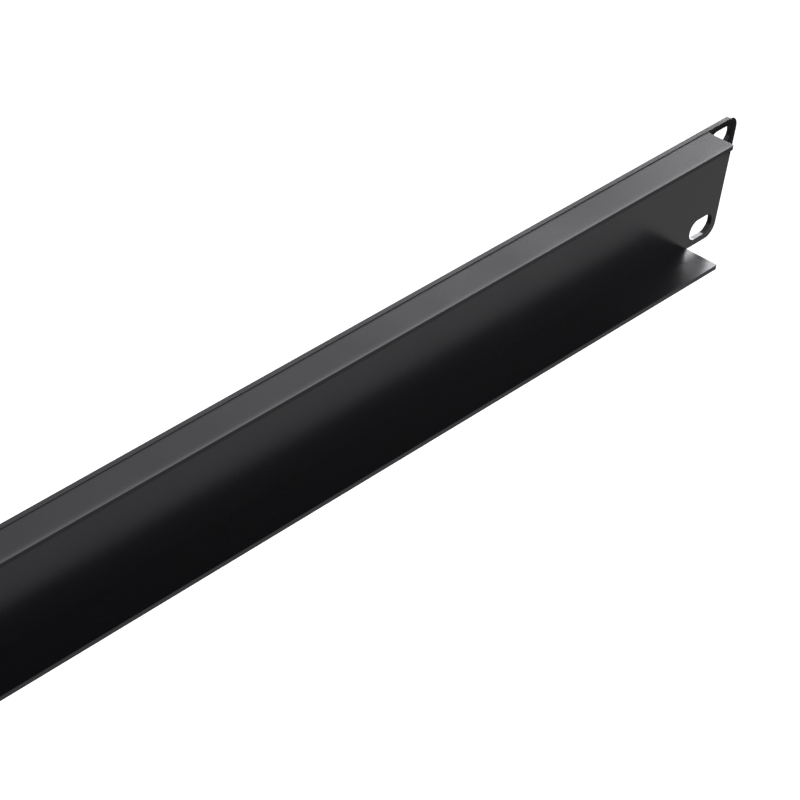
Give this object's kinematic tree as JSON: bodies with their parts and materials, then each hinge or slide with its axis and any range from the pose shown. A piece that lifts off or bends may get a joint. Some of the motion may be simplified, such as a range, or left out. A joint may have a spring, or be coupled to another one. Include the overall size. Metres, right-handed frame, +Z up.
{
  "type": "rack blanking panel",
  "caption": "Flat one-unit panel that closes an empty space in a 19 inch rack, with slotted ears and a stiffening flange behind its top and bottom edges.",
  "frame": {"origin": "centre of the four-slot pattern, on the front face of the plate", "axes": "+X along the panel, to the right seen from the front; +Y rearward, into the rack; +Z up"},
  "size_m": [0.4826, 0.0147, 0.0432],
  "materials": {
    "powder_coat": "satin black powder coat on steel"
  },
  "bodies": {
    "root": {"panel": "powder_coat"}
  },
  "joints": []
}
